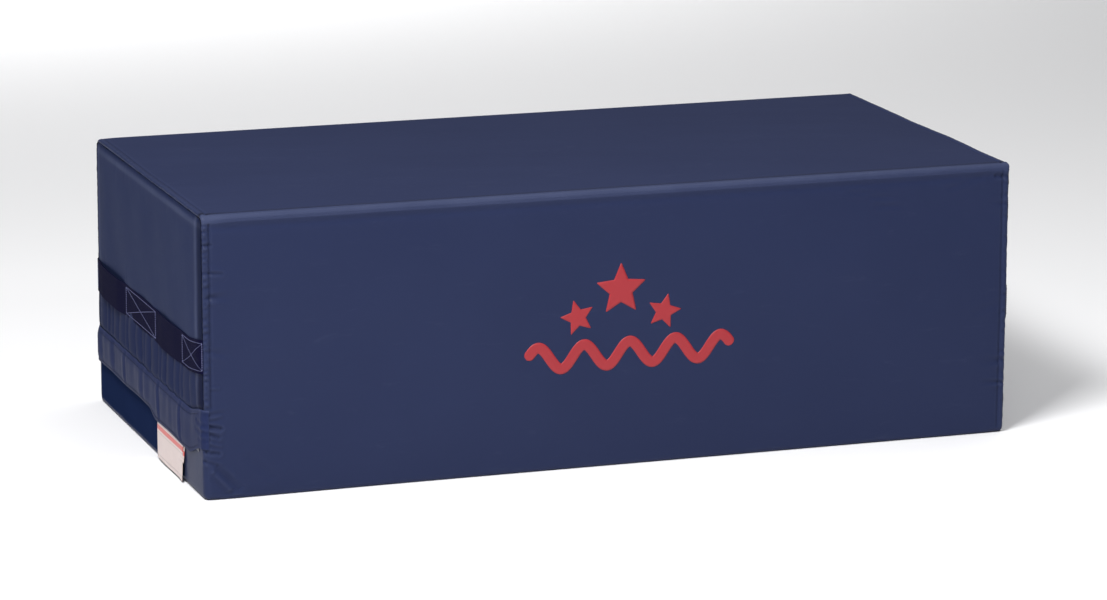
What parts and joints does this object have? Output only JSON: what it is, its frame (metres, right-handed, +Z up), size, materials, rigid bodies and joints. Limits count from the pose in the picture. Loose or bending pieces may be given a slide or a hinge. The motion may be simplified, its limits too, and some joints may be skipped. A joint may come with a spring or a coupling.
{
  "type": "soft vaulting block",
  "caption": "Rectangular foam gymnastics block in a sewn vinyl cover with a hook-and-loop end flap, webbing hand loops and a care label.",
  "frame": {"origin": "centre of the footprint, on the floor", "axes": "+X along the length, away from the closure end; -Y is the printed front; +Z up"},
  "size_m": [1.2466, 0.6102, 0.4064],
  "materials": {
    "vinyl": "satin",
    "vinyl_lining": "satin",
    "webbing": "matte",
    "thread": "matte",
    "tape": "matte",
    "foam": "matte",
    "label": "matte",
    "print_film": "satin"
  },
  "bodies": {
    "block": {"cover_wrap": "vinyl", "foam_core_bottom": "foam", "foam_core_middle": "foam", "foam_core_top": "foam", "left_bar_stitch_back": "thread", "left_box_stitch_front": "thread", "left_box_stitch_middle": "thread", "left_corner_tuck": "vinyl", "left_end_panel": "vinyl", "left_seam_welt": "vinyl", "left_tuck_panel": "vinyl_lining", "left_webbing_back_sewn": "webbing", "left_webbing_front_sewn": "webbing", "left_webbing_middle_sewn": "webbing", "print_star_centre": "print_film", "print_star_left": "print_film", "print_star_right": "print_film", "print_wave": "print_film", "right_bar_stitch_back": "thread", "right_box_stitch_front": "thread", "right_box_stitch_middle": "thread", "right_end_panel": "vinyl", "right_seam_welt": "vinyl", "right_webbing_back_sewn": "webbing", "right_webbing_front_sewn": "webbing", "right_webbing_middle_sewn": "webbing", "tuck_hook_tape": "tape"},
    "closure_flap": {"closure_flap": "vinyl", "flap_loop_tape": "tape", "flap_upper_stitch": "thread", "flap_hem_stitch": "thread"},
    "care_label": {"care_label": "label"},
    "left_front_loop": {"left_webbing_front_loop": "webbing"},
    "left_back_loop": {"left_webbing_back_loop": "webbing"},
    "right_front_loop": {"right_webbing_front_loop": "webbing"},
    "right_back_loop": {"right_webbing_back_loop": "webbing"}
  },
  "joints": [
    {"name": "flap_peel", "type": "hinge", "parent": "block", "child": "closure_flap", "pos_m": [-0.617, 0, 0.115], "axis": [0, 1, 0], "range_deg": [0, 110]},
    {"name": "label_swing", "type": "hinge", "parent": "closure_flap", "child": "care_label", "pos_m": [-0.6166, 0, 0.06], "axis": [0, 1, 0], "range_deg": [-2, 55]},
    {"name": "left_front_loop_open", "type": "slide", "parent": "block", "child": "left_front_loop", "axis": [-1, 0, 0], "range_m": [0, 0.025], "stiffness_N_per_m": 120},
    {"name": "left_back_loop_open", "type": "slide", "parent": "block", "child": "left_back_loop", "axis": [-1, 0, 0], "range_m": [0, 0.025], "stiffness_N_per_m": 120},
    {"name": "right_front_loop_open", "type": "slide", "parent": "block", "child": "right_front_loop", "axis": [1, 0, 0], "range_m": [0, 0.025], "stiffness_N_per_m": 120},
    {"name": "right_back_loop_open", "type": "slide", "parent": "block", "child": "right_back_loop", "axis": [1, 0, 0], "range_m": [0, 0.025], "stiffness_N_per_m": 120}
  ]
}
